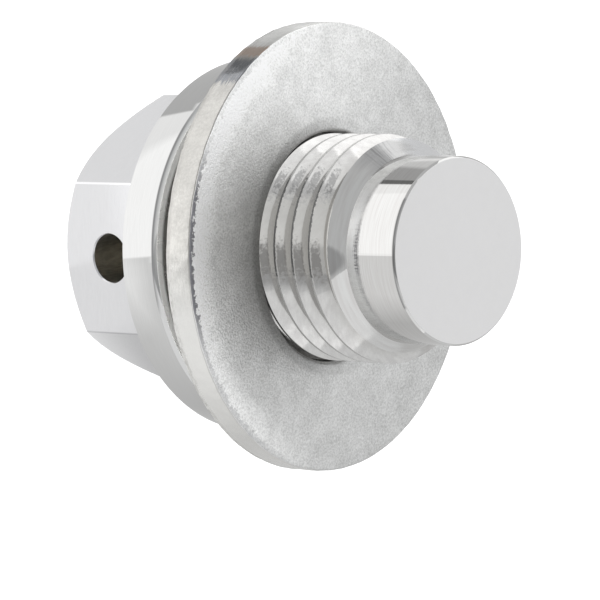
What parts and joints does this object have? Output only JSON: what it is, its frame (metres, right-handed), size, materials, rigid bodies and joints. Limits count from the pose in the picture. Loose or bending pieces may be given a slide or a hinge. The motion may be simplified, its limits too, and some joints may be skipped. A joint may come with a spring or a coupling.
{
  "type": "oil drain plug",
  "caption": "Hex-head oil drain plug with a flange, threaded shank, plain nose, lock-wire hole and a loose sealing washer.",
  "frame": {"origin": "centre of the hex head's end face, on which the plug stands", "axes": "+Z along the plug's axis from the head to the nose, +X along the lock-wire hole"},
  "size_m": [0.0238, 0.0238, 0.0223],
  "materials": {
    "plug_steel": "satin",
    "washer_aluminium": "matte"
  },
  "bodies": {
    "root": {"drain_plug": "plug_steel", "sealing_washer": "washer_aluminium"}
  },
  "joints": []
}
